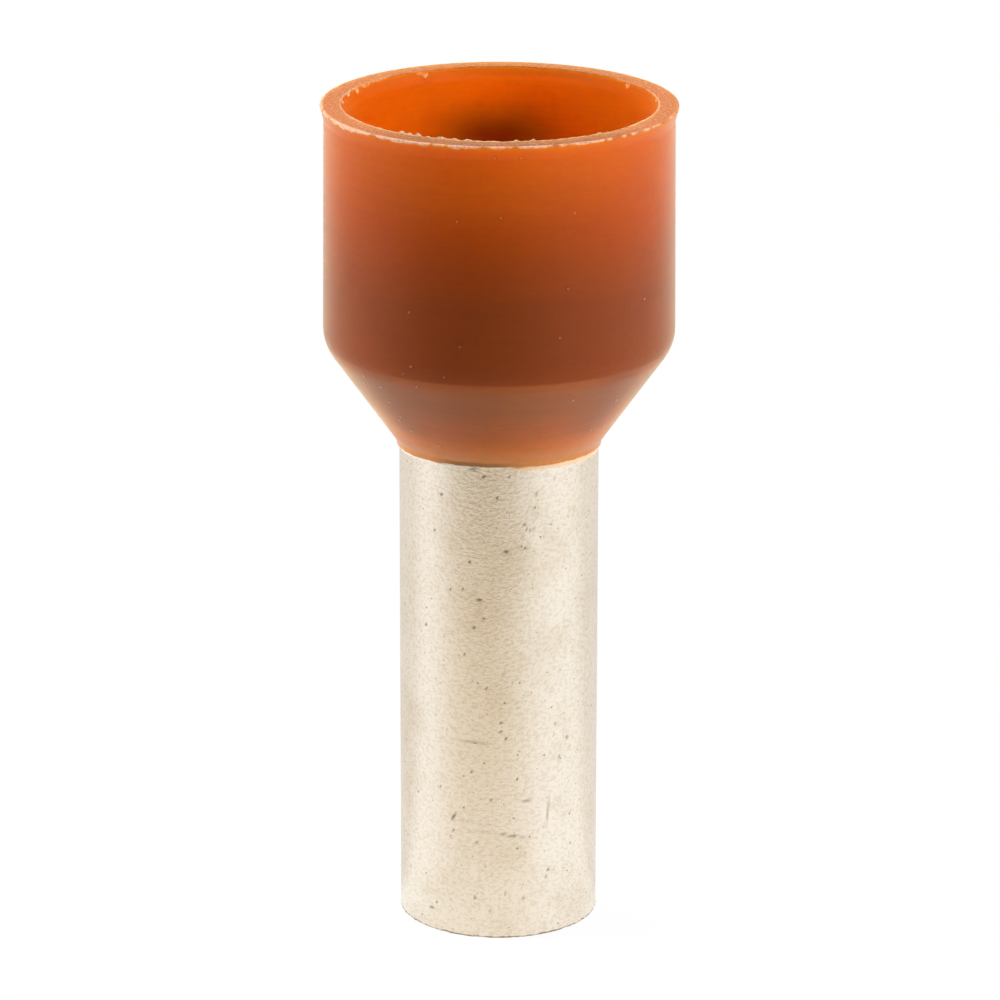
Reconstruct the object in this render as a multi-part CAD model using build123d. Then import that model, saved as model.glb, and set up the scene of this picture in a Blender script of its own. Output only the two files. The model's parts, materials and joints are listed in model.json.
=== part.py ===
from build123d import *
import os
from math import cos, radians, sin, tan

# Insulated wire ferrule for a 10 mm2 stranded conductor: a thin tinned copper tube whose upper
# end is belled out and seated in a moulded plastic collar.
# The origin is the centre of the tube's cut end. Z runs up the tube, towards the collar's mouth.
# Lengths are in millimetres and angles in degrees.

# Metal sleeve
sleeve_bore = 4.5
sleeve_wall = 0.2
pin_length = 12.2
bend_radius = 2.0
flare_setback = 0.05
sleeve_edge_radius = 0.03

# Plastic collar
collar_bore = 7.6
collar_wall = 0.45
funnel_wall = 0.36
collar_length = 8.5
funnel_half_angle = 35.4
outer_corner_radius = 1.03
inner_corner_radius = 0.25
outside_draft = 0.53
lip_wall = 0.07
lip_height = 0.12
lip_draft = 10.0
rim_bead_reach = 0.08
rim_bead_land = 0.06
rim_bead_height = 0.35
rim_edge_radius = 0.04

# Fit between the two pieces
seat_clearance = 0.01

# Heights and radii that follow from the sizes above
funnel_slope = tan(radians(funnel_half_angle))
funnel_half_turn = tan(radians(funnel_half_angle / 2))
tube_radius = sleeve_bore / 2 + sleeve_wall
seat_radius = tube_radius + seat_clearance
bore_radius = collar_bore / 2
mouth_radius = bore_radius + collar_wall
mouth_height = pin_length + collar_length
lip_radius = seat_radius + lip_wall
lip_top = pin_length + lip_height
funnel_wall_across = funnel_wall / cos(radians(funnel_half_angle))
seat_corner_height = lip_top + (funnel_wall_across - lip_wall) / funnel_slope
flare_radius = bore_radius - flare_setback
flare_run = (flare_radius - tube_radius) / sin(radians(funnel_half_angle))
seat_bend = min(bend_radius, 0.9 * flare_run / funnel_half_turn)


def turned(corners):
    """Solid of revolution about Z; each corner of its outline is (radius, height, rounding)."""
    points = [(radius, height) for radius, height, rounding in corners]
    roundings = [rounding for radius, height, rounding in corners]
    outline = FilletPolyline(*points, radius=roundings, close=True)
    return revolve(Plane.XZ * make_face(outline), axis=Axis.Z)


def neck_corner(inset):
    """Where the tube's line meets the flare's line on the surface that far inside the seat."""
    return seat_radius - inset, seat_corner_height + inset * funnel_half_turn


def height_on_funnel(radius, inset):
    """Height at which the flared surface that far inside the seat reaches a radius."""
    corner_radius, corner_height = neck_corner(inset)
    return corner_height + (radius - corner_radius) / funnel_slope


def metal_sleeve():
    """Straight tube with a bell-shaped flare; its wall has one thickness from end to end."""
    outer_inset = seat_clearance
    inner_inset = seat_clearance + sleeve_wall
    outer_corner = neck_corner(outer_inset)
    inner_corner = neck_corner(inner_inset)
    flare_height = height_on_funnel(flare_radius, outer_inset)
    flare_inner_radius = flare_radius - sleeve_wall * cos(radians(funnel_half_angle))
    flare_inner_height = flare_height + sleeve_wall * sin(radians(funnel_half_angle))
    return turned([
        (inner_corner[0], 0, sleeve_edge_radius),
        (outer_corner[0], 0, sleeve_edge_radius),
        (*outer_corner, seat_bend - outer_inset),
        (flare_radius, flare_height, sleeve_edge_radius),
        (flare_inner_radius, flare_inner_height, sleeve_edge_radius),
        (*inner_corner, seat_bend - inner_inset),
    ])


def collar_outside():
    """Outside of the collar, filled in: short lip, cone, drafted body and beaded rim."""
    draft_slope = tan(radians(outside_draft))
    rise = mouth_radius - lip_radius + mouth_height * draft_slope + lip_top * funnel_slope
    corner_height = rise / (funnel_slope + draft_slope)
    corner_radius = mouth_radius + (mouth_height - corner_height) * draft_slope
    bead_radius = mouth_radius + rim_bead_reach
    bead_foot = mouth_radius + rim_bead_height * draft_slope
    return turned([
        (0, pin_length, 0),
        (lip_radius - lip_height * tan(radians(lip_draft)), pin_length, 0),
        (lip_radius, lip_top, 0),
        (corner_radius, corner_height, outer_corner_radius),
        (bead_foot, mouth_height - rim_bead_height, 0),
        (bead_radius, mouth_height - rim_bead_land, 0),
        (bead_radius, mouth_height, rim_edge_radius),
        (0, mouth_height, 0),
    ])


def collar_inside():
    """Hollow of the collar: seat round the tube, seat under the flare, funnel and bore."""
    return turned([
        (0, 0, 0),
        (seat_radius, 0, 0),
        (*neck_corner(0), seat_bend),
        (bore_radius, height_on_funnel(bore_radius, 0), inner_corner_radius),
        (bore_radius, mouth_height + collar_wall, 0),
        (0, mouth_height + collar_wall, 0),
    ])


def insulating_collar():
    """Moulded collar, open at both ends, with a broken edge inside its mouth."""
    collar = collar_outside() - collar_inside()
    rim_edges = collar.edges().filter_by(GeomType.CIRCLE).group_by(Axis.Z)[-1]
    return fillet(rim_edges.sort_by(SortBy.RADIUS)[0], rim_edge_radius)


os.makedirs("parts", exist_ok=True)
export_step(metal_sleeve(), "parts/metal_sleeve.step")
export_step(insulating_collar(), "parts/insulating_collar.step")
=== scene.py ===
import json
import math

import bpy
import numpy as np
from mathutils import Matrix, Vector


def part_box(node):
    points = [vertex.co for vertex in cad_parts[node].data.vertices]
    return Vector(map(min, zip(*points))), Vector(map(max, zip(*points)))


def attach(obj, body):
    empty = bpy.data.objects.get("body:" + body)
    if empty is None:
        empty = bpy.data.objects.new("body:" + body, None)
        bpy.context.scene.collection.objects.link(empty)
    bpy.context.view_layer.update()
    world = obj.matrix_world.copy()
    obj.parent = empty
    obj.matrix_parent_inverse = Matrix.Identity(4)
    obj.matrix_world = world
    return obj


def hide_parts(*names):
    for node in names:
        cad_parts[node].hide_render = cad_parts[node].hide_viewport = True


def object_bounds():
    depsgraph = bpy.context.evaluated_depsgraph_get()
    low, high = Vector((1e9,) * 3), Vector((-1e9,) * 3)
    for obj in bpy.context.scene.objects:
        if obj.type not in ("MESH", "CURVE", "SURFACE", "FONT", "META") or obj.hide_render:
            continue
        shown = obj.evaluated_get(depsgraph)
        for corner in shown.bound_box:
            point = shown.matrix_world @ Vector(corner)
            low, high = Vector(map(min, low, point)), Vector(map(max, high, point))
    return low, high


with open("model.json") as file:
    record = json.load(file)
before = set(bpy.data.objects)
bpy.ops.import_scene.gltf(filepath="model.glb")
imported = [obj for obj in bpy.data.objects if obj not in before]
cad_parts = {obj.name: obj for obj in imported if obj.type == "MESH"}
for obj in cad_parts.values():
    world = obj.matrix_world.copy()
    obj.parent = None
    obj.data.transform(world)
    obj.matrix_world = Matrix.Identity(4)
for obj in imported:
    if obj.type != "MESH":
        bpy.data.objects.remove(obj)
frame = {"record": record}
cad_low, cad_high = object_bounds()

bl_info = {
    "name": "Insulated wire ferrule",
    "version": (1, 0, 0),
    "blender": (4, 5, 0),
    "location": "3D View > Sidebar > Ferrule",
    "description": "Dresses the tinned sleeve and the moulded collar of a wire ferrule, on a plain stage",
    "category": "Add Mesh",
}

MM = 0.001
ROOT_BODY = "root"
SLEEVE_NODE = "metal_sleeve"
COLLAR_NODE = "insulating_collar"

WHITE = (1, 1, 1)

# Level directions: the front, and the middle of the dark part that the tin mirrors
FRONT = (0, -1, 0)
DARK_DIRECTION = (-0.26, -0.966, 0)


def mount_radius(name):
    """Radius in millimetres of one of the frame's round mounts."""
    mounts = {mount["name"]: mount for mount in frame["record"]["mounts"]}
    return mounts[name]["dims"]["r_mm"]


# What the frame says of the object, in millimetres
TUBE_RADIUS = mount_radius("crimp_barrel")
BORE_RADIUS = mount_radius("conductor_bore")
MOUTH_BORE = mount_radius("insulation_entry")
LIP_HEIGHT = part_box(COLLAR_NODE)[0].z / MM
RIM_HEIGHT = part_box(COLLAR_NODE)[1].z / MM
BEAD_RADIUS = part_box(COLLAR_NODE)[1].x / MM
FLARE_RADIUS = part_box(SLEEVE_NODE)[1].x / MM


def length(name, description, millimetres):
    """A length property, shown in the scene's own unit."""
    return bpy.props.FloatProperty(
        name=name, description=description, default=millimetres * MM,
        min=0, precision=5, subtype="DISTANCE", unit="LENGTH")


def angle(name, description, degrees):
    """An angle property."""
    return bpy.props.FloatProperty(
        name=name, description=description, default=math.radians(degrees),
        subtype="ANGLE", unit="ROTATION")


def colour(name, description, red, green, blue):
    """A colour property."""
    return bpy.props.FloatVectorProperty(
        name=name, description=description, default=(red, green, blue),
        size=3, min=0, max=1, subtype="COLOR")


class SleeveSettings(bpy.types.PropertyGroup):
    """Sizes and colours of the tinned tube."""

    bend_radius: length("Bend radius", "Bend from the tube to the flare, outside", 1.99)
    edge_radius: length("Edge radius", "Broken edges at the cut end and the flare's rim", 0.03)
    tin: colour("Tin", "Clean tin plate", 0.98, 0.898, 0.775)
    grey_tin: colour("Grey tin", "Where the plate is duller", 0.88, 0.78, 0.63)
    wrinkle: colour("Wrinkle", "Tint of the grain's low places", 0.87, 0.84, 0.80)
    pit: colour("Pit", "Bottom of the pits and scratches", 0.26, 0.19, 0.11)
    copper: colour("Copper", "Bare copper at the cut end", 0.36, 0.26, 0.17)
    # Painted reflection of the orange lip in the tube, just under the lip, on the right
    lip_reflection: colour("Film", "Thin plastic that ran out under the lip", 0.76, 0.485, 0.26)
    # Painted highlight just under the lip, on the left
    lip_highlight: colour("Pale film", "Film where it is thinnest, on the left", 0.90, 0.82, 0.70)


class CollarSettings(bpy.types.PropertyGroup):
    """Sizes and colours of the moulded collar."""

    wall: length("Wall", "Wall of the collar at the mouth", 0.45)
    funnel_wall: length("Funnel wall", "Wall of the funnel", 0.36)
    funnel_angle: angle("Funnel angle", "Half angle of the funnel, inside and outside", 35.4)
    draft: angle("Draft", "Taper of the outside, wider towards the tube", 0.53)
    corner_radius: length("Corner radius", "Rounding between the body and the cone", 1.03)
    hollow_radius: length("Hollow radius", "Rounding between the bore and the funnel", 0.25)
    seat_radius: length("Seat bend", "Bend of the seat round the tube's flare", 2.0)
    seat_gap: length("Seat gap", "Between the tube and its seat", 0.01)
    lip_wall: length("Lip wall", "Thickness of the lip round the tube", 0.07)
    lip_height: length("Lip height", "Height of the lip below the cone", 0.12)
    bead_height: length("Bead height", "Height of the flared rim", 0.35)
    # Painted light and shade of one plastic, by height: lighter towards the mouth, browner where metal
    # lies behind
    mouth_orange: colour("Mouth orange", "Plastic near the mouth", 0.40, 0.098, 0.003)
    # Painted light: the front of the mouth is lighter, where light passes through the plastic
    mouth_lit: colour("Mouth bright", "Plastic at the front of the mouth", 0.41, 0.091, 0.003)
    body_orange: colour("Body orange", "Plastic half way down the body", 0.335, 0.060, 0.001)
    body_brown: colour("Body brown", "Plastic at the foot of the body", 0.235, 0.048, 0.005)
    # Painted light and shade on the cone: brown over the flare, lighter low down and at the thin lip
    cone_brown: colour("Cone brown", "Plastic over the metal flare", 0.345, 0.093, 0.021)
    cone_tan: colour("Cone tan", "Plastic low on the cone", 0.45, 0.098, 0.016)
    # Painted shade on both sides of the cone's front
    cone_flank_shade: colour("Cone dark", "Cone on both sides of its front", 0.19, 0.046, 0.010)
    neck_tan: colour("Neck tan", "Plastic where the cone runs out", 0.60, 0.126, 0.008)
    neck_orange: colour("Neck orange", "Plastic of the thin lip", 0.57, 0.20, 0.045)
    # Painted shadow at the foot of the lip, a little left of the front
    lip_shadow: colour("Lip stain", "Foot of the lip, a little left of the front", 0.20, 0.115, 0.045)
    rim_tan: colour("Rim tan", "Flat end of the collar", 0.42, 0.108, 0.024)
    rim_worn: colour("Rim worn", "Torn front of the collar's flat end", 0.20, 0.034, 0.006)
    hollow_orange: colour("Hollow orange", "Inside of the mouth", 0.42, 0.091, 0.001)
    # Painted light on the far wall of the mouth
    hollow_light: colour("Hollow light", "Far wall of the mouth", 0.54, 0.120, 0.001)
    # Painted shadow deep inside the mouth, low down behind
    hollow_shadow: colour("Hollow brown", "Deep inside the mouth", 0.115, 0.015, 0.001)
    speck_ring: colour("Speck ring", "Dark ring round a speck", 0.12, 0.03, 0.01)
    flash: colour("Flash", "Thin torn plastic along the rim", 0.87, 0.50, 0.34)
    sheen: colour("Sheen", "Pale edge of the plastic at a grazing view", 1.0, 0.9, 0.42)


class StageSettings(bpy.types.PropertyGroup):
    """The camera and the studio."""

    camera_distance: length("Camera distance", "From the camera to the tube's axis", 139.7)
    camera_height: length("Aim height", "Height on the axis that the camera looks at", 10.641)
    camera_elevation: angle("Camera elevation", "Above the horizon", 17.79)
    camera_roll: angle("Camera roll", "Turn of the camera about its own view", 0.1)
    lens: bpy.props.FloatProperty(
        name="Lens", description="Focal length on a 36 mm sensor", default=203.88, unit="CAMERA")
    floor: colour("Floor", "Plain pale floor round the object", 0.9, 0.9, 0.9)
    far_floor: colour("Far floor", "Light that the rest of the floor throws back", 0.25, 0.25, 0.25)
    dark_near: colour("Dark near", "Near floor in front, as reflections see it", 0.79, 0.70, 0.57)
    dark_far: colour("Dark far", "Front of the studio, as reflections see it", 0.20, 0.16, 0.11)
    behind: colour("Behind", "Back of the studio, as reflections see it", 0.84, 0.81, 0.78)


class Signal:
    """A number in a finish; arithmetic on it adds the Math nodes."""

    def __init__(self, finish, socket):
        self.finish = finish
        self.socket = socket

    def __add__(self, other):
        return self.finish.maths("ADD", self, other)

    def __sub__(self, other):
        return self.finish.maths("SUBTRACT", self, other)

    def __rsub__(self, other):
        return self.finish.maths("SUBTRACT", other, self)

    def __mul__(self, other):
        return self.finish.maths("MULTIPLY", self, other)

    __radd__ = __add__
    __rmul__ = __mul__


class Finish:
    """The node tree of a material or a world, filled in step by step."""

    def __init__(self, holder):
        holder.use_nodes = True
        self.tree = holder.node_tree
        self.tree.nodes.clear()

    def node(self, kind, settings=None, inputs=None, output=0):
        """Add any node: first its settings, then the values and links of its sockets."""
        made = self.tree.nodes.new(kind)
        for name, value in (settings or {}).items():
            if name == "stops":
                self.set_stops(made.color_ramp, value)
            else:
                setattr(made, name, value)
        for name, value in (inputs or {}).items():
            if isinstance(value, Signal):
                self.tree.links.new(value.socket, made.inputs[name])
            else:
                made.inputs[name].default_value = value
        return Signal(self, made.outputs[output]) if made.outputs else None

    @staticmethod
    def set_stops(ramp, stops):
        while len(ramp.elements) < len(stops):
            ramp.elements.new(1)
        for element, (place, shade) in zip(ramp.elements, stops):
            element.position = place
            element.color = (*shade, 1)

    def maths(self, operation, *values):
        inputs = dict(enumerate(values))
        return self.node("ShaderNodeMath", {"operation": operation}, inputs)

    def step(self, value, low, high):
        """0 below low, 1 above high and smooth between; the other way round if low is the greater."""
        return self.node("ShaderNodeMapRange", {"interpolation_type": "SMOOTHSTEP"},
                         {"Value": value, "From Min": low, "From Max": high})

    def blend(self, factor, first, second, way="MIX"):
        """Mix two colours."""
        settings = {"data_type": "RGBA", "blend_type": way}
        inputs = {0: factor, 6: opaque(first), 7: opaque(second)}
        return self.node("ShaderNodeMix", settings, inputs, output=2)

    def vector(self, operation, *values):
        """A Vector Math node whose result is a vector."""
        return self.node("ShaderNodeVectorMath", {"operation": operation}, dict(enumerate(values)))

    def measure(self, operation, *values):
        """A Vector Math node whose result is a number."""
        inputs = dict(enumerate(values))
        return self.node("ShaderNodeVectorMath", {"operation": operation}, inputs, output="Value")

    def along(self, where, axis):
        """One coordinate of a place or direction."""
        return self.node("ShaderNodeSeparateXYZ", inputs={0: where}, output=axis)

    def place(self):
        """Where a point lies on the object, in millimetres."""
        where = self.node("ShaderNodeTexCoord", output="Object")
        return self.node("ShaderNodeVectorMath", {"operation": "SCALE"}, {0: where, "Scale": 1 / MM})

    def ramp(self, value, stops):
        """Colours at places along a value, blended between them."""
        low, high = stops[0][0], stops[-1][0]
        share = self.node("ShaderNodeMapRange", {}, {"Value": value, "From Min": low, "From Max": high})
        shares = [((place - low) / (high - low), shade) for place, shade in stops]
        return self.node("ShaderNodeValToRGB", {"stops": shares}, {"Fac": share})

    def grain(self, where, scale, detail=2.0, roughness=0.5, stretch=(1, 1, 1)):
        """Noise with that many cells a millimetre, about 0.5 on average."""
        stretched = self.vector("MULTIPLY", where, stretch)
        return self.node("ShaderNodeTexNoise", {}, {
            "Vector": stretched, "Scale": scale, "Detail": detail, "Roughness": roughness})

    def dots(self, where, scale, size):
        """Sparse round dots, at most one in each cell; size is the radius in millimetres."""
        away = self.node("ShaderNodeTexVoronoi", {}, {"Vector": where, "Scale": scale}, output="Distance")
        return self.step(away * (1 / scale), size, 0.5 * size)

    def attribute(self, name):
        """A value that the mesh carries."""
        return self.node("ShaderNodeAttribute", {"attribute_name": name}, output="Fac")


def opaque(shade):
    """A colour as a socket takes it."""
    return shade if isinstance(shade, Signal) else (*shade, 1)


def rounded_outline(corners):
    """Points of a closed outline; a corner is (radius, height, rounding, spacing up to the next one)."""
    places = [Vector(corner[:2]) for corner in corners]
    count = len(places)
    bends = []
    for index, (_, _, rounding, spacing) in enumerate(corners):
        here = places[index]
        back = (places[index - 1] - here).normalized()
        ahead = (places[(index + 1) % count] - here).normalized()
        if not rounding:
            bends.append([here])
            continue
        half = back.angle(ahead) / 2
        centre = here + (back + ahead).normalized() * rounding / math.sin(half)
        spoke = here + back * (rounding / math.tan(half)) - centre
        turn = math.copysign(math.pi - 2 * half, spoke.cross(ahead))
        pieces = max(4, math.ceil(abs(turn) * rounding / spacing))
        turns = [turn * step / pieces for step in range(pieces + 1)]
        bends.append([centre + Matrix.Rotation(each, 2) @ spoke for each in turns])
    outline = []
    for index, bend in enumerate(bends):
        outline += bend
        start, end = bend[-1], bends[(index + 1) % count][0]
        pieces = max(1, math.ceil((end - start).length / corners[index][3]))
        outline += [start.lerp(end, step / pieces) for step in range(1, pieces)]
    return np.array(outline)


def ring_noise(angles, cells, seed):
    """Smooth random values round a ring, from -1 to 1."""
    values = np.random.default_rng(seed).uniform(-1, 1, cells)
    where = (angles / math.tau % 1) * cells
    cell = np.floor(where).astype(int)
    part = where - cell
    part = part * part * (3 - 2 * part)
    return values[cell % cells] * (1 - part) + values[(cell + 1) % cells] * part


def smooth(value, low, high):
    """0 below low, 1 above high and smooth between."""
    part = np.clip((value - low) / (high - low), 0, 1)
    return part * part * (3 - 2 * part)


def turn_between(angles, degrees):
    """Signed turn from a direction given in degrees, in radians."""
    return (angles - math.radians(degrees) + math.pi) % math.tau - math.pi


def lathe(name, outline, segments, reshape):
    """Closed mesh from an outline turned about Z; reshape moves its points and names what it marks."""
    radius, height = np.repeat(outline[:, :, None], segments, axis=2).transpose(1, 0, 2)
    around = np.broadcast_to(np.arange(segments) * math.tau / segments, radius.shape)
    radius, height, marks = reshape(radius, height, around)
    points = np.stack([radius * np.cos(around), radius * np.sin(around), height], axis=-1) * MM
    rows = len(outline)
    corner = np.arange(rows * segments).reshape(rows, segments)
    above = np.roll(corner, -1, axis=0)
    quads = np.stack([corner, np.roll(corner, -1, axis=1), np.roll(above, -1, axis=1), above], axis=-1)
    mesh = bpy.data.meshes.new(name)
    mesh.from_pydata(points.reshape(-1, 3), [], quads.reshape(-1, 4))
    mesh.polygons.foreach_set("use_smooth", np.ones(len(mesh.polygons), bool))
    for mark, values in marks.items():
        layer = mesh.attributes.new(mark, "FLOAT", "POINT")
        layer.data.foreach_set("value", values.ravel().astype(np.float32))
    mesh.validate()
    piece = bpy.data.objects.new(name, mesh)
    bpy.context.scene.collection.objects.link(piece)
    return piece


# Where the torn flash is strong, from 0 to 1, by direction in degrees; -90 is the front
OUTER_FLASH = (
    (-165, 0.6), (-150, 1.0), (-118, 1.0), (-100, 0.7), (-60, 0.5), (-40, 0.4), (-15, 0.15), (150, 0.1),
)
INNER_FLASH = (
    (-178, 0.6), (-150, 0.7), (-132, 1.0), (-95, 1.0), (-75, 0.6), (-50, 0.4),
    (0, 0.6), (30, 0.5), (60, 0.25), (110, 0.25), (140, 0.8),
)

# Flakes that hang from the mouth's inner edge: direction in degrees, width and drop in millimetres
FLAKES = (
    (118.7, 0.14, 0.16), (121, 0.22, 0.06), (77, 0.42, 0.07), (35, 0.16, 0.12),
    (28, 0.10, 0.05), (9, 0.20, 0.07), (2, 0.16, 0.10), (-6, 0.12, 0.08),
    (148, 0.30, 0.06), (155, 0.14, 0.11), (163, 0.20, 0.07), (172, 0.14, 0.11),
)

# Torn crumbs that stand on the mouth's inner edge: direction in degrees, width and height in millimetres
CRUMBS = (
    (-127, 0.16, 0.09), (-123.5, 0.12, 0.07), (-120, 0.14, 0.11), (-116, 0.10, 0.06), (-111, 0.24, 0.07),
    (-106, 0.10, 0.05), (-101, 0.16, 0.05), (-84, 0.10, 0.06), (-78, 0.12, 0.07), (-52, 0.12, 0.05),
)

# In millimetres, the foot of the lip lies higher in front than at the sides, and a little low all round
LIP_SLANT = 0.09
LIP_SAG = 0.03

# In millimetres, how far the strongest flash hangs down, laps over the rim, leans off the wall and rises
OUTER_DROP = 0.075
OUTER_LAP = 0.04
OUTER_LEAN = 0.030
INNER_DROP = 0.05
INNER_LAP = 0.05
INNER_LEAN = 0.020
INNER_RISE = 0.03

# In millimetres, how far the flash hangs down and laps over the rim where it is weakest
LEAST_DROP = 0.01
LEAST_OUTER_LAP = 0.045
LEAST_INNER_LAP = 0.05


def strength_round(around, places):
    """A value given at a few directions, blended round the ring."""
    directions, values = zip(*sorted(places))
    return np.interp(np.degrees(around), directions, values, period=360)


def torn(around, seed):
    """How far a torn edge reaches, about 0.6 on average."""
    coarse = ring_noise(around, cells=46, seed=seed)
    fine = ring_noise(around, cells=170, seed=seed + 1)
    finest = ring_noise(around, cells=290, seed=seed + 2)
    return np.clip(0.6 + 0.35 * coarse + 0.28 * fine + 0.2 * finest, 0.15, 1.3)


def humps(around, places):
    """Sum of narrow humps round the mouth's inner edge."""
    total = np.zeros_like(around)
    for degrees, width, size in places:
        total = total + size * np.exp(-(turn_between(around, degrees) * MOUTH_BORE / (0.5 * width)) ** 4)
    return total


def covered(below, drop, from_edge, lap):
    """1 where the flash covers an edge of the rim, down to its drop and across to its lap."""
    return smooth(below, drop + 0.02, drop - 0.01) * smooth(from_edge, lap, 0.03)


def shape_collar(radius, height, around):
    """The slanted lip and the torn flash on both edges of the rim."""
    lip_drop = -LIP_SAG - LIP_SLANT * np.sin(around)
    lip_drop = lip_drop + 0.012 * ring_noise(around, cells=60, seed=3)
    lip_drop = lip_drop + 0.008 * ring_noise(around, cells=170, seed=4)
    height = height + lip_drop * smooth(height, LIP_HEIGHT + 0.4, LIP_HEIGHT)

    below = RIM_HEIGHT - height
    middle = (MOUTH_BORE + BEAD_RADIUS) / 2
    outer = strength_round(around, OUTER_FLASH) * torn(around, seed=11)
    outer_drop = LEAST_DROP + OUTER_DROP * outer
    outer_flash = covered(below, outer_drop, BEAD_RADIUS - radius, LEAST_OUTER_LAP + OUTER_LAP * outer)
    outer_flash = outer_flash * (radius > middle)

    from_bore = radius - MOUTH_BORE
    inner = strength_round(around, INNER_FLASH) * torn(around, seed=21)
    flake = humps(around, FLAKES)
    inner_drop = LEAST_DROP + INNER_DROP * inner + flake
    inner_flash = covered(below, inner_drop, from_bore, LEAST_INNER_LAP + INNER_LAP * inner)
    inner_flash = inner_flash * (radius < middle) * (below < 0.4)

    crest = np.exp(-((from_bore - 0.02) / 0.05) ** 2) * smooth(below, 0.1, 0.02)
    front = smooth(-np.sin(around), 0.2, 0.5)
    rise = crest * (INNER_RISE * inner * front + 0.6 * humps(around, CRUMBS))

    wobble = 0.008 * ring_noise(around, cells=9, seed=31)
    wobble = wobble * smooth(height, RIM_HEIGHT - 0.3, RIM_HEIGHT - 0.02)
    outwards = OUTER_LEAN * outer_flash * smooth(outer, 0.05, 0.4)
    inwards = (INNER_LEAN + 0.3 * flake) * inner_flash * smooth(below, 0, 0.03)
    flash = outer_flash * smooth(outer, 0.02, 0.3) + inner_flash * smooth(inner + flake, 0.02, 0.3)
    flash = np.clip(flash + 12 * rise, 0, 1)
    return radius + wobble + (outwards - inwards), height + rise, {"flash": flash}


def seat_corner_height(collar):
    """Height at which the seat's tube line meets its funnel line."""
    across = collar.funnel_wall / math.cos(collar.funnel_angle) - collar.lip_wall
    return LIP_HEIGHT + (collar.lip_height + across / math.tan(collar.funnel_angle)) / MM


def collar_outline(settings):
    """Section of the collar, from the lip's seat round the outside to the bore."""
    slope = math.tan(settings.funnel_angle)
    draft = math.tan(settings.draft)
    wall = settings.wall / MM
    seat = TUBE_RADIUS + settings.seat_gap / MM
    lip = seat + settings.lip_wall / MM
    lip_top = LIP_HEIGHT + settings.lip_height / MM
    mouth = MOUTH_BORE + wall
    corner_height = (mouth - lip + RIM_HEIGHT * draft + lip_top * slope) / (slope + draft)
    corner = mouth + (RIM_HEIGHT - corner_height) * draft
    seat_height = seat_corner_height(settings)
    hollow_height = seat_height + (MOUTH_BORE - seat) / slope
    bead_foot = RIM_HEIGHT - settings.bead_height / MM
    return rounded_outline([
        (seat, LIP_HEIGHT, 0.01, 0.02),
        (lip - 0.02, LIP_HEIGHT, 0.015, 0.05),
        (lip, lip_top, 0.05, 0.16),
        (corner, corner_height, settings.corner_radius / MM, 0.15),
        (mouth + 0.003, bead_foot, 0.3, 0.03),
        (BEAD_RADIUS, RIM_HEIGHT - 0.06, 0.03, 0.03),
        (BEAD_RADIUS, RIM_HEIGHT, 0.035, 0.045),
        (MOUTH_BORE, RIM_HEIGHT, 0.03, 0.035),
        (MOUTH_BORE, RIM_HEIGHT - 0.35, 0, 0.22),
        (MOUTH_BORE, hollow_height, settings.hollow_radius / MM, 0.2),
        (seat, seat_height, settings.seat_radius / MM, 0.12),
    ])


# Specks on the outside of the collar: direction in degrees and height in millimetres
SPECKS = (
    (-67.7, 17.16), (-63.2, 14.27), (-70.4, 15.97), (-65.3, 18.99), (-89.5, 18.97), (-103.5, 18.84),
    (-119.7, 12.81), (-119.9, 16.51), (-102.5, 15.79), (-36.1, 16.51), (-40.0, 13.93), (-126.4, 14.85),
    (-122.2, 14.96), (-119.2, 15.17), (-107.7, 15.00), (-117.9, 14.65), (-135.1, 14.39), (-145.6, 14.31),
    (-136.6, 13.39), (-91.4, 20.42), (-83.2, 20.41), (-44.8, 13.12), (-141.6, 14.59), (-134.4, 13.51),
    (-132.8, 13.12), (-135.5, 13.94), (100.0, 18.10), (64.0, 16.40), (30.0, 19.20), (140.0, 17.30),
    (12.0, 15.60), (170.0, 13.70),
)

# Heights of the colours of the body and the cone, in millimetres; the steps are painted light and shade:
# lighter where light passes through thin plastic, browner where metal lies behind
BODY_SHADES = ((15.2, "body_brown"), (16.6, "body_brown"), (18.6, "body_orange"), (20.5, "mouth_orange"))
# Painted light and shade on the cone, by height
CONE_SHADES = ((12.4, "neck_orange"), (12.85, "neck_tan"), (13.3, "cone_tan"), (14.0, "cone_brown"))

# Patches of painted light and shade: middle, and the distances from it between which they come in, in
# millimetres
# Painted light at the front of the mouth
LIT_MOUTH_PATCH = ((-0.7, -4.1, 0), 2.6, 0.6)
# Painted light on the far wall of the hollow
LIT_PATCH = ((0.6, 3.75, 0), 2.6, 0.4)
# Painted shadow deep in the hollow
DEEP_PATCH = ((-0.1, MOUTH_BORE, 0), 2.4, 0.2)
# Painted shadow at the foot of the lip
LIP_SHADOW_PATCH = ((-0.55, -2.45, 0), 1.2, 0.5)

# Heights between which a colour comes in, in millimetres
# Painted light at the front of the mouth
LIT_MOUTH_BAND = (18.2, 20.3)
# Painted shadow deep in the hollow
DEEP_BAND = (20.2, 18.9)
CONE_BAND = (14.87, 14.77)
# Painted shade on the cone's flanks
FLANK_BAND = (12.7, 13.3)
# Painted shadow at the foot of the lip
LIP_SHADOW_BAND = (LIP_HEIGHT + 0.22, LIP_HEIGHT + 0.10)
THIN_BAND = (LIP_HEIGHT + 0.9, LIP_HEIGHT + 0.35)
# Painted light near the top of the hollow
HOLLOW_TOP_BAND = (RIM_HEIGHT - 0.24, RIM_HEIGHT - 0.06)
END_FACE_BAND = (RIM_HEIGHT - 0.05, RIM_HEIGHT - 0.01)
MATT_BAND = (RIM_HEIGHT - 0.04, RIM_HEIGHT - 0.01)

# Places in front of the axis between which the end face turns worn, in millimetres
WORN_BAND = (-2.3, -3.7)


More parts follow.
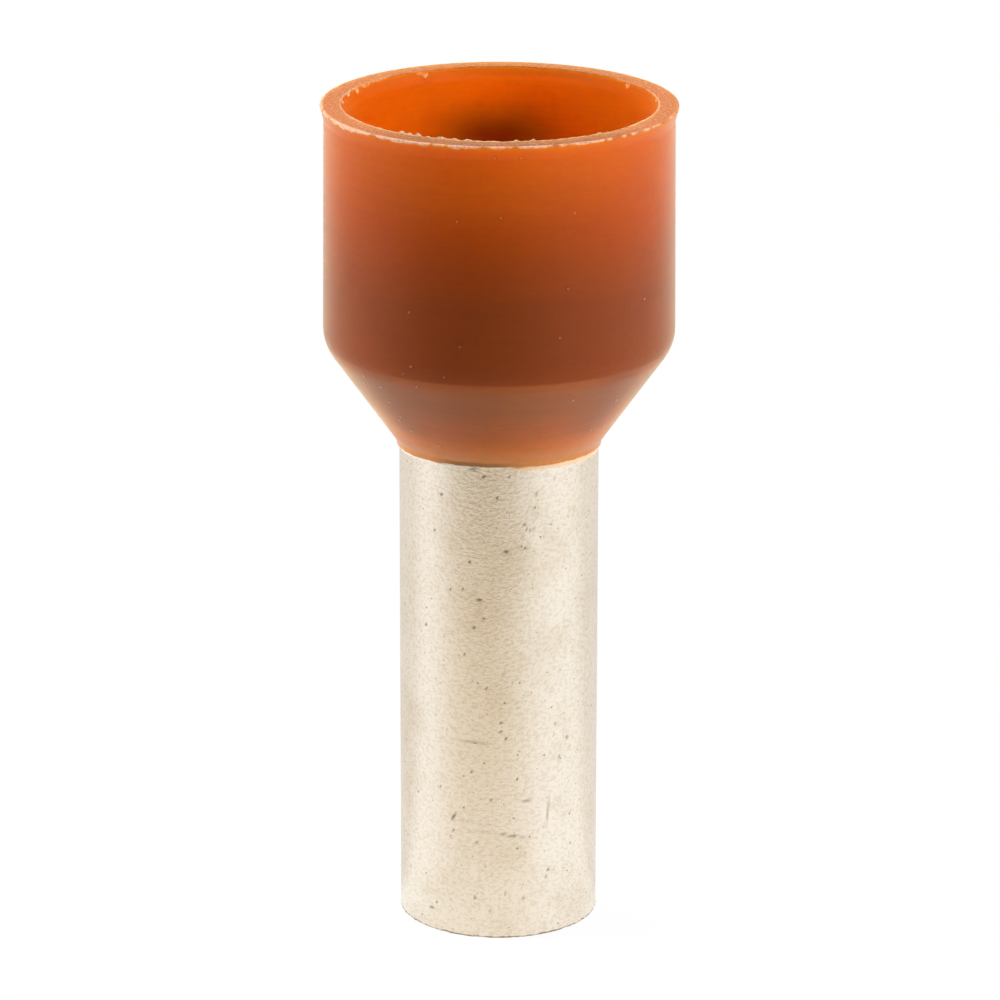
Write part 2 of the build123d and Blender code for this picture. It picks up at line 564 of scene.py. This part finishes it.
def outside_point(settings, degrees, height):
    """The point of the collar's outside that way and at that height, in millimetres."""
    lip_top = LIP_HEIGHT + settings.lip_height / MM
    lip = TUBE_RADIUS + (settings.seat_gap + settings.lip_wall) / MM
    cone = lip + (height - lip_top) * math.tan(settings.funnel_angle)
    body = MOUTH_BORE + settings.wall / MM + (RIM_HEIGHT - height) * math.tan(settings.draft)
    turn = math.radians(degrees)
    return min(cone, body) * math.cos(turn), min(cone, body) * math.sin(turn), height


def shades(settings, places):
    """Stops of a ramp from heights and the names of colours."""
    return [(place, getattr(settings, name)) for place, name in places]


def patch(finish, flat, middle, outer, inner):
    """1 within the inner distance from a patch's middle and 0 beyond the outer one."""
    return finish.step(finish.measure("DISTANCE", flat, middle), outer, inner)


def body_shade(finish, settings, height, flat):
    """Painted light and shade of the translucent plastic: brown at the foot of the body, orange at the
    mouth and a painted light patch at its front.
    """
    shade = finish.ramp(height, shades(settings, BODY_SHADES))
    # Painted light at the front of the mouth
    bright = patch(finish, flat, *LIT_MOUTH_PATCH) * finish.step(height, *LIT_MOUTH_BAND)
    return finish.blend(bright, shade, settings.mouth_lit)


def cone_shade(finish, settings, height, frontal):
    """Orange at the lip and brown above it, as painted light and shade, with painted shade on both sides
    of the front.
    """
    shade = finish.ramp(height, shades(settings, CONE_SHADES))
    # Painted shade on both sides of the cone's front
    flank = finish.step(frontal, -0.95, -0.72) * finish.step(frontal, -0.50, -0.68)
    return finish.blend(0.5 * flank * finish.step(height, *FLANK_BAND), shade, settings.cone_flank_shade)


def hollow_shade(finish, settings, height, flat):
    """Bright orange inside the mouth, with painted light on its far wall and near its top, and a painted
    shadow low down behind.
    """
    # Painted light near the top and on the far wall
    top = finish.step(height, *HOLLOW_TOP_BAND)
    lit = finish.maths("MAXIMUM", patch(finish, flat, *LIT_PATCH), 0.9 * top)
    shade = finish.blend(lit, settings.hollow_orange, settings.hollow_light)
    # Painted shadow low down on the far wall
    deep = patch(finish, flat, *DEEP_PATCH) * finish.step(height, *DEEP_BAND)
    return finish.blend(deep, shade, settings.hollow_shadow)


def inside_share(finish, settings, height, radius):
    """1 on the bore and the funnel and 0 on the outside of the collar."""
    slope = 1 / math.tan(settings.funnel_angle)
    funnel_foot = seat_corner_height(settings) - TUBE_RADIUS * slope
    above_funnel = finish.step(height - radius * slope, funnel_foot - 0.35, funnel_foot - 0.2)
    return finish.step(radius, MOUTH_BORE + 0.04, MOUTH_BORE + 0.01) * above_funnel


def nearest_speck(finish, settings, where):
    """Distance to the nearest speck, in millimetres and at most 1, with a ragged edge."""
    nearest = 1.0
    for degrees, place in SPECKS:
        away = finish.measure("DISTANCE", where, outside_point(settings, degrees, place))
        nearest = finish.maths("MINIMUM", away, nearest)
    return nearest + 0.05 * finish.grain(where, scale=20.0)


def plastic_finish(settings):
    """Translucent moulded plastic with painted light and shade: lighter orange at the mouth, where light
    passes through, and browner where metal lies behind it and blocks the light.
    """
    material = bpy.data.materials.new("moulded_plastic")
    finish = Finish(material)
    where = finish.place()
    height = finish.along(where, "Z")
    depth = finish.along(where, "Y")
    flat = finish.vector("MULTIPLY", where, (1, 1, 0))
    radius = finish.measure("LENGTH", flat)
    frontal = finish.maths("DIVIDE", depth, radius)
    clouds = finish.grain(where, scale=0.9, detail=3.0)
    streaks = finish.grain(where, scale=1.0, detail=3.0, roughness=0.6, stretch=(0.35, 0.35, 9.0))
    flash = finish.attribute("flash")
    rim = finish.step(height, *MATT_BAND)

    # Painted light and shade, by height and in patches
    body = body_shade(finish, settings, height, flat)
    cone = cone_shade(finish, settings, height, frontal)
    outside = finish.blend(finish.step(height, *CONE_BAND), body, cone)
    front = finish.step(depth, *WORN_BAND)
    end_face = finish.blend(front, settings.rim_tan, settings.rim_worn)
    outside = finish.blend(finish.step(height, *END_FACE_BAND), outside, end_face)
    hollow = hollow_shade(finish, settings, height, flat)
    shade = finish.blend(inside_share(finish, settings, height, radius), outside, hollow)

    # Painted shadow at the foot of the lip
    lip_shade = patch(finish, flat, *LIP_SHADOW_PATCH) * finish.step(height, *LIP_SHADOW_BAND)
    shade = finish.blend(0.6 * lip_shade, shade, settings.lip_shadow)
    shade = finish.blend(0.06 * finish.step(streaks, 0.4, 0.62), shade, settings.speck_ring)
    mottle = finish.grain(where, scale=5.0, detail=4.0, roughness=0.7, stretch=(0.7, 0.7, 1.5))
    shade = finish.blend(0.07 * finish.step(mottle, 0.42, 0.62), shade, settings.speck_ring)

    nearest = nearest_speck(finish, settings, where)
    shade = finish.blend(0.2 * finish.step(nearest, 0.11, 0.07), shade, settings.speck_ring)
    shade = finish.blend(0.28 * finish.step(nearest, 0.065, 0.035), shade, settings.flash)
    worn = finish.step(finish.grain(where, scale=13.0, detail=3.0, roughness=0.6), 0.42, 0.68)
    shade = finish.blend(0.25 * (rim * worn), shade, settings.flash)
    fibres = finish.grain(where, scale=7.0, detail=3.0, roughness=0.6, stretch=(0.35, 2.6, 1))
    shade = finish.blend(0.75 * (rim * front * finish.step(fibres, 0.46, 0.66)), shade, settings.rim_tan)
    torn_tone = finish.step(finish.grain(where, scale=12.0, detail=3.0), 0.3, 0.6)
    shade = finish.blend(flash * (0.55 + 0.45 * torn_tone), shade, settings.flash)

    matt = finish.maths("MAXIMUM", flash, rim)
    ripple = 0.004 * streaks + 0.003 * finish.grain(where, scale=14.0)
    ripple = ripple + 0.01 * finish.step(nearest, 0.1, 0.04)
    ripple = ripple + 0.02 * matt * finish.grain(where, scale=22.0)
    normal = finish.node("ShaderNodeBump", inputs={"Distance": MM, "Height": ripple})
    gloss = {
        "Base Color": shade,
        "Roughness": 0.3 + 0.3 * matt + 0.1 * clouds,
        "IOR": 1.5,
        "Specular IOR Level": 0.2,
        "Coat Weight": 0.45 - 0.45 * matt,
        "Coat Roughness": 0.08,
        "Coat IOR": 1.2,
        "Normal": normal,
    }
    thick = finish.node("ShaderNodeBsdfPrincipled", {"subsurface_method": "RANDOM_WALK"}, {
        **gloss,
        "Subsurface Weight": 1.0,
        "Subsurface Radius": (1.0, 0.65, 0.1),
        "Subsurface Scale": 2.2 * MM,
        "Sheen Weight": 0.4,
        "Sheen Roughness": 0.3,
        "Sheen Tint": opaque(settings.sheen),
    })
    thin = finish.node("ShaderNodeBsdfPrincipled", {}, gloss)
    thin_share = finish.maths("MAXIMUM", flash, finish.step(height, *THIN_BAND) + 0.75 * rim)
    surface = finish.node("ShaderNodeMixShader", inputs={0: thin_share, 1: thick, 2: thin})
    finish.node("ShaderNodeOutputMaterial", inputs={"Surface": surface})
    return material


# What the rounding takes off the reach of the flare's tip, in millimetres
TIP_ROUNDING = 0.01


def sleeve_outline(sleeve, collar):
    """Section of the sleeve, from the cut end up the outside, round the flare's rim and down the bore."""
    wall = TUBE_RADIUS - BORE_RADIUS
    slope = math.tan(collar.funnel_angle)
    half_turn = math.tan(collar.funnel_angle / 2)
    outer_height = seat_corner_height(collar) + collar.seat_gap / MM * half_turn
    inner_height = outer_height + wall * half_turn
    tip = FLARE_RADIUS + TIP_ROUNDING
    tip_height = outer_height + (tip - TUBE_RADIUS) / slope
    edge = sleeve.edge_radius / MM
    bend = sleeve.bend_radius / MM
    return rounded_outline([
        (BORE_RADIUS, 0, edge, 0.04),
        (TUBE_RADIUS, 0, edge, 0.06),
        (TUBE_RADIUS, outer_height, bend, 0.2),
        (tip, tip_height, edge, 0.06),
        (tip - wall * math.cos(collar.funnel_angle),
         tip_height + wall * math.sin(collar.funnel_angle), edge, 0.15),
        (BORE_RADIUS, inner_height, bend + wall, 1.2),
    ])


# Pits in the tube: direction in degrees, height and width in millimetres
PITS = (
    (-124.4, 11.44, 0.10), (-91.1, 11.50, 0.07), (-68.5, 11.53, 0.08), (-75.6, 10.79, 0.08),
    (-74.2, 10.68, 0.07), (-72.0, 10.63, 0.07), (-69.8, 10.68, 0.07), (-76.7, 10.46, 0.06),
    (-74.9, 10.20, 0.08), (-106.6, 9.83, 0.07), (-118.4, 9.05, 0.06), (-110.8, 9.12, 0.07),
    (-136.7, 7.98, 0.09), (-153.0, 8.49, 0.06), (-160.7, 8.20, 0.07), (-98.4, 8.40, 0.06),
    (-104.2, 8.15, 0.06), (-109.6, 7.45, 0.07), (-158.6, 9.74, 0.06), (-138.4, 9.13, 0.06),
    (-129.4, 10.48, 0.06), (-84.3, 12.01, 0.07), (-56.3, 11.88, 0.07), (-98.5, 12.03, 0.07),
    (-87.5, 6.98, 0.07), (-82.3, 6.74, 0.06), (-96.6, 6.59, 0.06), (-129.0, 5.72, 0.06),
    (-88.6, 5.71, 0.07), (-88.6, 5.45, 0.07), (-85.7, 5.29, 0.07), (-55.4, 5.50, 0.08),
    (-56.1, 5.25, 0.07), (-46.3, 5.07, 0.10), (-43.8, 4.78, 0.06), (-52.4, 4.64, 0.06),
    (-105.4, 4.39, 0.06), (-108.4, 4.06, 0.06), (-79.2, 4.20, 0.06), (-73.9, 4.18, 0.06),
    (-152.5, 3.64, 0.06), (-125.4, 3.84, 0.06), (-94.3, 3.66, 0.07), (-118.6, 2.62, 0.07),
    (-117.0, 2.78, 0.06), (-102.4, 2.53, 0.06), (-157.1, 2.16, 0.07), (-155.5, 1.97, 0.07),
    (-152.9, 1.39, 0.06), (-59.8, 1.69, 0.09), (-61.1, 1.54, 0.06), (-85.5, 1.50, 0.06),
    (-93.6, 1.68, 0.06), (-128.5, 0.75, 0.07), (-103.6, 1.07, 0.09), (-75.5, 1.02, 0.08),
    (-94.8, 0.72, 0.07), (95.0, 10.30, 0.08), (70.0, 7.60, 0.09), (122.0, 4.10, 0.08), (35.0, 9.10, 0.07),
    (150.0, 6.20, 0.09), (15.0, 3.00, 0.08), (-10.0, 8.30, 0.08), (178.0, 10.90, 0.07),
)

# Depth of the pits and of the strongest scratches, in millimetres
DENT_DEPTH = 0.010

# Scratches in the tube: direction in degrees, height, length and width in millimetres, tilt in degrees
# and strength from 0 to 1
SCRATCHES = (
    (-104.9, 5.16, 1.00, 0.06, 1, 0.35), (-72.6, 3.63, 0.36, 0.07, 6, 0.7),
    (-82.8, 2.73, 0.86, 0.06, -13, 0.7), (-60.0, 3.30, 0.72, 0.06, 86, 0.6),
    (-85.9, 10.12, 0.16, 0.09, -35, 1.0), (-101.3, 8.88, 0.20, 0.08, -15, 0.9),
    (-116.6, 3.14, 0.26, 0.09, 55, 1.0), (-132.4, 0.57, 0.18, 0.08, 0, 0.9),
    (-86.0, 1.20, 0.18, 0.06, 80, 0.5), (-103.0, 3.05, 0.90, 0.06, -4, 0.25),
    (-99.0, 2.84, 1.10, 0.06, 3, 0.2), (80.0, 8.80, 0.90, 0.06, 8, 0.6),
    (-104.0, 12.20, 0.30, 0.05, -2, 0.5), (-92.0, 12.18, 0.22, 0.05, 0, 0.7),
    (112.0, 6.00, 0.50, 0.06, 60, 0.7), (40.0, 4.40, 1.10, 0.06, -10, 0.5),
    (160.0, 2.60, 0.60, 0.06, 20, 0.6),
)


def dent(height, around, degrees, place, reach, width, tilt):
    """1 in an oval dent on the tube and 0 outside it."""
    across = turn_between(around, degrees) * TUBE_RADIUS
    rise = height - place
    lean = math.radians(tilt)
    along = (across * math.cos(lean) + rise * math.sin(lean)) / (0.5 * reach)
    beside = (rise * math.cos(lean) - across * math.sin(lean)) / (0.5 * width)
    return np.exp(-1.6 * (along ** 2 + beside ** 2) ** 1.5)


def shape_sleeve(radius, height, around):
    """The slightly torn cut end, the pits and the scratches."""
    end = smooth(height, 0.12, 0.0)
    ragged = 0.010 * ring_noise(around, cells=40, seed=51) + 0.008 * ring_noise(around, cells=160, seed=52)
    depth = np.zeros_like(radius)
    for degrees, place, size in PITS:
        depth = np.maximum(depth, dent(height, around, degrees, place, size, size, 0))
    for degrees, place, reach, width, tilt, strength in SCRATCHES:
        depth = np.maximum(depth, strength * dent(height, around, degrees, place, reach, width, tilt))
    depth = depth * smooth(radius, TUBE_RADIUS - 0.02, TUBE_RADIUS - 0.005)
    return radius + ragged * end - DENT_DEPTH * depth, height + np.abs(ragged) * end, {"pit": depth}


def lip_reflection_and_highlight(finish, where, height):
    """Shares of the tube just under the lip: a painted reflection of the orange lip on the right and a
    painted highlight on the left.
    """
    depth = finish.along(where, "Y")
    across = finish.along(where, "X")
    radius = finish.measure("LENGTH", finish.vector("MULTIPLY", where, (1, 1, 0)))
    under_lip = (LIP_HEIGHT - LIP_SAG) - height - (LIP_SLANT / TUBE_RADIUS) * depth
    outside = finish.step(radius, TUBE_RADIUS - 0.06, TUBE_RADIUS - 0.03)
    outside = outside * finish.step(height, LIP_HEIGHT + 0.4, LIP_HEIGHT + 0.25)
    ragged = under_lip + 0.07 * finish.grain(where, scale=3.0, detail=3.0)
    # Painted reflection of the lip, on the right
    lip_reflection = outside * finish.step(ragged, 0.185, 0.145) * finish.step(across, 0.0, 0.5)
    # Painted highlight under the lip, on the left
    pale = outside * finish.step(under_lip, 0.09, 0.05) * finish.step(across, -0.3, -1.3)
    return lip_reflection, pale


def tin_finish(settings):
    """Satin tin plate with a wrinkled grain, pits and scratches, a painted reflection of the lip just
    under it and a painted highlight on the left.
    """
    material = bpy.data.materials.new("tin_plate")
    finish = Finish(material)
    where = finish.place()
    height = finish.along(where, "Z")
    clouds = finish.grain(where, scale=0.7, detail=3.0)
    wrinkles = finish.grain(where, scale=10.0, detail=3.0, roughness=0.65, stretch=(0.9, 0.9, 1.2))
    small_pits = finish.dots(where, scale=2.3, size=0.034)
    small_pits = finish.maths("MAXIMUM", small_pits, 0.7 * finish.dots(where, scale=4.6, size=0.024))
    pits = finish.maths("MAXIMUM", finish.attribute("pit"), 0.7 * small_pits)
    shade = finish.blend(finish.step(clouds, 0.45, 0.8), settings.tin, settings.grey_tin)
    shade = finish.blend(finish.step(wrinkles, 0.58, 0.34), shade, settings.wrinkle, "MULTIPLY")
    shade = finish.blend(pits, shade, settings.pit)
    cut = finish.step(height + 0.10 * finish.grain(where, scale=4.5, detail=3.0), 0.115, 0.080)
    shade = finish.blend(cut, shade, settings.copper)
    lip_reflection, pale = lip_reflection_and_highlight(finish, where, height)
    # Painted reflection of the lip
    shade = finish.blend(0.8 * lip_reflection, shade, settings.lip_reflection)
    # Painted highlight under the lip
    shade = finish.blend(0.8 * pale, shade, settings.lip_highlight)
    relief = 0.010 * wrinkles - 0.008 * pits
    normal = finish.node("ShaderNodeBump", inputs={"Distance": MM, "Height": relief})
    surface = finish.node("ShaderNodeBsdfPrincipled", {}, {
        "Base Color": shade,
        # Less metallic where the reflection and the highlight are painted
        "Metallic": 1.0 - 0.8 * finish.maths("MAXIMUM", lip_reflection, pale),
        "Roughness": 0.18 + 0.14 * wrinkles,
        "Normal": normal,
    })
    finish.node("ShaderNodeOutputMaterial", inputs={"Surface": surface})
    return material


# Points round each piece
SLEEVE_SEGMENTS = 364
COLLAR_SEGMENTS = 580


class FERRULE_OT_sleeve(bpy.types.Operator):
    """Builds the tinned tube with its flare, torn end, pits and scratches."""

    bl_idname = "ferrule.sleeve"
    bl_label = "Tinned sleeve"

    def execute(self, context):
        settings = context.scene.ferrule_sleeve
        outline = sleeve_outline(settings, context.scene.ferrule_collar)
        piece = lathe("tinned_sleeve", outline, SLEEVE_SEGMENTS, shape_sleeve)
        piece.data.materials.append(tin_finish(settings))
        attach(piece, ROOT_BODY)
        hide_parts(SLEEVE_NODE)
        return {"FINISHED"}


class FERRULE_OT_collar(bpy.types.Operator):
    """Builds the moulded collar with its slanted lip and the torn flash round its mouth."""

    bl_idname = "ferrule.collar"
    bl_label = "Moulded collar"

    def execute(self, context):
        settings = context.scene.ferrule_collar
        outline = collar_outline(settings)
        piece = lathe("moulded_collar", outline, COLLAR_SEGMENTS, shape_collar)
        piece.data.materials.append(plastic_finish(settings))
        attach(piece, ROOT_BODY)
        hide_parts(COLLAR_NODE)
        return {"FINISHED"}


# Soft lamps: direction and elevation in degrees, width in metres and watts; direction 0 is the front
LAMPS = {
    "left_box": (-95, 24, 0.12, 0.80),
    "right_box": (68, 24, 0.12, 0.72),
    "left_edge": (-142, 20, 0.12, 0.40),
    "right_edge": (142, 20, 0.12, 0.38),
    "back_box": (180, 35, 0.20, 0.15),
}
LAMP_DISTANCE = 0.25


def softbox(name, azimuth, elevation, size, watts):
    """A square lamp that faces the middle of the object and isn't mirrored."""
    lamp = bpy.data.lights.new(name, "AREA")
    lamp.size = size
    lamp.energy = watts
    holder = bpy.data.objects.new(name, lamp)
    holder.visible_glossy = False
    turn, rise = math.radians(azimuth), math.radians(elevation)
    away = Vector((math.sin(turn) * math.cos(rise), -math.cos(turn) * math.cos(rise), math.sin(rise)))
    holder.location = (cad_low + cad_high) / 2 + away * LAMP_DISTANCE
    holder.rotation_euler = away.to_track_quat("Z", "Y").to_euler()
    bpy.context.scene.collection.objects.link(holder)


# How far the camera aims to the right of the tube's axis, in millimetres
AIM_OFFSET = 0.027


def add_camera(settings):
    """The camera at the photograph's viewing angle."""
    data = bpy.data.cameras.new("camera")
    data.sensor_width = 36
    data.lens = settings.lens
    data.clip_start, data.clip_end = 0.01, 10
    camera = bpy.data.objects.new("camera", data)
    rise = settings.camera_elevation
    away = Vector((0, -math.cos(rise), math.sin(rise)))
    aim = Vector((AIM_OFFSET * MM, 0, settings.camera_height))
    turn = away.to_track_quat("Z", "Y").to_matrix() @ Matrix.Rotation(settings.camera_roll, 3, "Z")
    camera.matrix_world = Matrix.Translation(aim + away * settings.camera_distance) @ turn.to_4x4()
    bpy.context.scene.collection.objects.link(camera)
    bpy.context.scene.camera = camera


def ray(finish, kind):
    """1 for rays of that kind and 0 for the rest."""
    return finish.node("ShaderNodeLightPath", output=f"Is {kind} Ray")


def seen_directly(finish):
    """1 for rays from the camera, a reflection or a clear surface, and 0 for the rest."""
    rays = ray(finish, "Camera") + ray(finish, "Glossy") + ray(finish, "Transmission")
    return finish.maths("MINIMUM", rays, 1)


# Cosines of the angle to the front, and to the dark direction, between which the mirrored tone changes
BACK_COSINES = (-0.1, -0.4)
DARK_COSINES = (0.3, 1.15)


def mirrored_tone(finish, settings, direction, dark):
    """What a reflection sees that way: dark in front, white at the sides and duller behind."""
    level = finish.vector("NORMALIZE", finish.vector("MULTIPLY", direction, (1, 1, 0)))
    back = finish.step(finish.measure("DOT_PRODUCT", level, FRONT), *BACK_COSINES)
    shade = finish.blend(back, WHITE, settings.behind)
    frontal = finish.measure("DOT_PRODUCT", level, DARK_DIRECTION)
    return finish.blend(finish.step(frontal, *DARK_COSINES), shade, dark)


# Half the width of the floor in metres, and how far it lies below the cut end in millimetres
FLOOR_REACH = 1.5
FLOOR_GAP = 0.002

# Distances from the axis between which the floor changes, in millimetres: the light it throws back, its
# dark tone in reflections, the lit part round the object, and how much of its shadow it shows
PALE_FLOOR = (8, 40)
DARK_FLOOR = (34, 64)
LIT_FLOOR = (16, 2)
SHADOW_FLOOR = (5, 20)


def add_floor(settings):
    """A plain white floor that keeps a faint shadow."""
    corners = [(x * FLOOR_REACH, y * FLOOR_REACH, 0) for x, y in ((-1, -1), (1, -1), (1, 1), (-1, 1))]
    mesh = bpy.data.meshes.new("floor")
    mesh.from_pydata(corners, [], [(0, 1, 2, 3)])
    floor = bpy.data.objects.new("floor", mesh)
    floor.location.z = -FLOOR_GAP * MM
    bpy.context.scene.collection.objects.link(floor)
    material = bpy.data.materials.new("floor_white")
    finish = Finish(material)
    where = finish.place()
    away = finish.measure("LENGTH", where)
    pale = finish.blend(finish.step(away, *PALE_FLOOR), settings.floor, settings.far_floor)
    matte = finish.node("ShaderNodeBsdfDiffuse", inputs={"Color": pale})
    dark = finish.blend(finish.step(away, *DARK_FLOOR), settings.dark_near, settings.dark_far)
    shade = mirrored_tone(finish, settings, where, dark)
    frontal = finish.measure("DOT_PRODUCT", finish.vector("NORMALIZE", where), FRONT)
    lit = finish.step(away, *LIT_FLOOR) * finish.step(frontal, -0.5, 0.1)
    shade = finish.blend(0.45 * lit, shade, WHITE)
    shade = finish.blend(ray(finish, "Glossy"), WHITE, shade)
    glow = finish.node("ShaderNodeEmission", inputs={"Color": shade, "Strength": 1.0})
    share = (0.92 + 0.08 * finish.step(away, *SHADOW_FLOOR)) * seen_directly(finish)
    surface = finish.node("ShaderNodeMixShader", inputs={0: share, 1: matte, 2: glow})
    finish.node("ShaderNodeOutputMaterial", inputs={"Surface": surface})
    mesh.materials.append(material)


def add_world(settings):
    """White all round, dark in front for reflections, and a softer level for its light."""
    world = bpy.data.worlds.new("studio")
    bpy.context.scene.world = world
    finish = Finish(world)
    level = 0.1 + 0.9 * seen_directly(finish)
    towards = finish.node("ShaderNodeTexCoord", output="Generated")
    low = finish.step(finish.along(towards, "Z"), 0.9, 0.4)
    shade = mirrored_tone(finish, settings, towards, settings.dark_far)
    shade = finish.blend(ray(finish, "Glossy") * low, WHITE, shade)
    sky = finish.node("ShaderNodeBackground", inputs={"Color": shade, "Strength": level})
    finish.node("ShaderNodeOutputWorld", inputs={"Surface": sky})


class FERRULE_OT_stage(bpy.types.Operator):
    """Sets up the camera, the white floor, the surround and the soft lamps."""

    bl_idname = "ferrule.stage"
    bl_label = "Stage"

    def execute(self, context):
        settings = context.scene.ferrule_stage
        context.scene.view_settings.view_transform = "Standard"
        add_camera(settings)
        add_floor(settings)
        add_world(settings)
        for name, sizes in LAMPS.items():
            softbox(name, *sizes)
        return {"FINISHED"}


class FERRULE_PT_sidebar(bpy.types.Panel):
    """The pieces of the ferrule and their settings."""

    bl_idname = "FERRULE_PT_sidebar"
    bl_label = "Wire ferrule"
    bl_space_type = "VIEW_3D"
    bl_region_type = "UI"
    bl_category = "Ferrule"

    def draw(self, context):
        for operator, group in PIECES:
            box = self.layout.box()
            box.operator(operator.bl_idname)
            settings = getattr(context.scene, group)
            for name in settings.bl_rna.properties.keys():
                if name not in ("rna_type", "name"):
                    box.prop(settings, name)


SETTINGS = {
    "ferrule_sleeve": SleeveSettings,
    "ferrule_collar": CollarSettings,
    "ferrule_stage": StageSettings,
}
PIECES = (
    (FERRULE_OT_stage, "ferrule_stage"),
    (FERRULE_OT_sleeve, "ferrule_sleeve"),
    (FERRULE_OT_collar, "ferrule_collar"),
)
CLASSES = (*SETTINGS.values(), *(operator for operator, group in PIECES), FERRULE_PT_sidebar)


def register():
    for each in CLASSES:
        bpy.utils.register_class(each)
    for name, group in SETTINGS.items():
        setattr(bpy.types.Scene, name, bpy.props.PointerProperty(type=group))


def unregister():
    for name in SETTINGS:
        delattr(bpy.types.Scene, name)
    for each in reversed(CLASSES):
        bpy.utils.unregister_class(each)


def main():
    """Builds everything in order."""
    register()
    bpy.ops.ferrule.stage()
    bpy.ops.ferrule.sleeve()
    bpy.ops.ferrule.collar()


if __name__ == "__main__":
    main()
